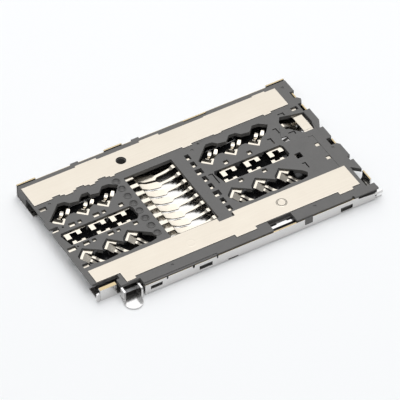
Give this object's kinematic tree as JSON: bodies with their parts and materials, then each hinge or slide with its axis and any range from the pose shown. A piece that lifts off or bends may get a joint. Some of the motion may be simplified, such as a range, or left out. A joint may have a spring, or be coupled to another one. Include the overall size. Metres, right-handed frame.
{
  "type": "sim and memory card tray socket",
  "caption": "Low board-mount tray socket for SIM and memory cards: folded steel shell, moulded contact plate, ground strips and a push-rod tray ejector.",
  "frame": {"origin": "centre of the footprint, on the shell's underside", "axes": "+X from the tray's mouth to the lever end, +Y from the push rod's side to the plain side, +Z out of the solder side"},
  "size_m": [0.0296, 0.0184, 0.0015],
  "materials": {
    "moulding": "fine matte dark grey liquid crystal polymer",
    "steel": "bright rolled stainless sheet with cut edges",
    "tin": "matte tinned sheet, warm white",
    "contact": "pale gold plating over nickel",
    "lever_steel": "satin steel sheet"
  },
  "bodies": {
    "socket": {"housing": "moulding", "shell": "steel", "rear_ground_strip": "tin", "front_ground_strip": "tin", "switch_terminal": "tin", "switch_spring": "contact", "lever_rivet": "lever_steel", "sim_contact_1": "contact", "sim_contact_2": "contact", "sim_contact_3": "contact", "sim_contact_4": "contact", "sim_contact_5": "contact", "sim_contact_6": "contact", "sim_contact_7": "contact", "sim_contact_8": "contact", "sim_contact_9": "contact", "sim_contact_10": "contact", "sim_contact_11": "contact", "sim_contact_12": "contact", "card_contact_1": "contact", "card_contact_2": "contact", "card_contact_3": "contact", "card_contact_4": "contact", "card_contact_5": "contact", "card_contact_6": "contact", "card_contact_7": "contact", "card_contact_8": "contact"},
    "rod": {"push_rod": "steel"},
    "lever": {"eject_lever": "lever_steel"}
  },
  "joints": [
    {"name": "rod_slide", "type": "slide", "parent": "socket", "child": "rod", "axis": [-1, 0, 0], "range_m": [0, 0.0016]},
    {"name": "lever_pivot", "type": "hinge", "parent": "socket", "child": "lever", "pos_m": [0.01242, -0.00218, 0], "axis": [0, 0, -1], "range_deg": [0, 18.1]}
  ],
  "couplings": [
    {"joint": "lever_pivot", "follows": "rod_slide", "rad_per_m": 197.24}
  ]
}
